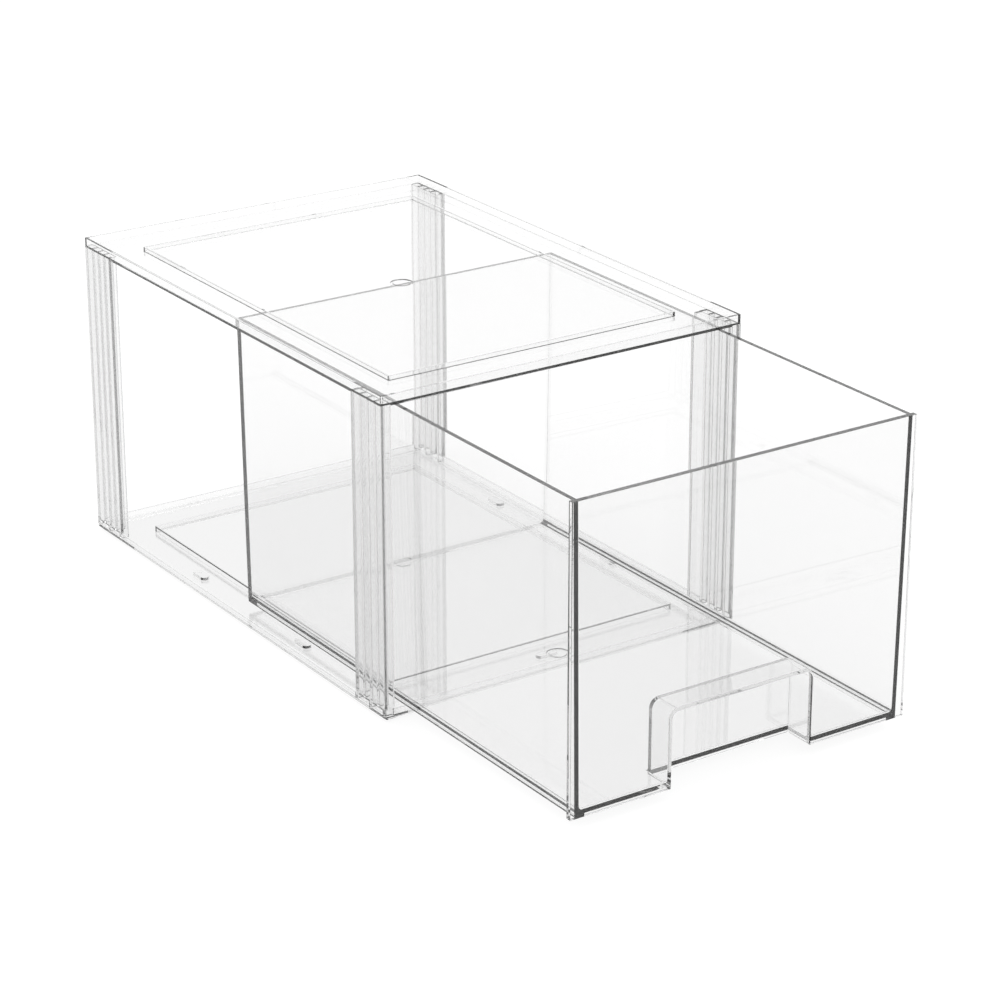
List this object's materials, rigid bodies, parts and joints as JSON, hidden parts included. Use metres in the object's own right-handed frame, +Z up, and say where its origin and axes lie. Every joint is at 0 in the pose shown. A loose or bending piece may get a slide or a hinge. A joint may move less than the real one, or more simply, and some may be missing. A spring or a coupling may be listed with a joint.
{
  "type": "stackable drawer box",
  "caption": "Clear plastic stackable drawer box: an open-sided case of two panels and corner posts, with a pull-out drawer that has a finger notch in its front.",
  "frame": {"origin": "middle of the case's footprint, on the table plane that the foot ring stands on", "axes": "+X to the right seen from the front, +Y to the back, so the drawer pulls out towards -Y, +Z up"},
  "size_m": [0.21, 0.436, 0.166],
  "materials": {
    "clear_polystyrene": "clear, polished"
  },
  "bodies": {
    "case": {"top_panel": "clear_polystyrene", "base_panel": "clear_polystyrene", "post_front_left": "clear_polystyrene", "post_front_right": "clear_polystyrene", "post_rear_left": "clear_polystyrene", "post_rear_right": "clear_polystyrene"},
    "drawer": {"drawer": "clear_polystyrene"}
  },
  "joints": [
    {"name": "drawer_slide", "type": "slide", "parent": "case", "child": "drawer", "axis": [0, -1, 0], "range_m": [-0.142, 0.06]}
  ]
}
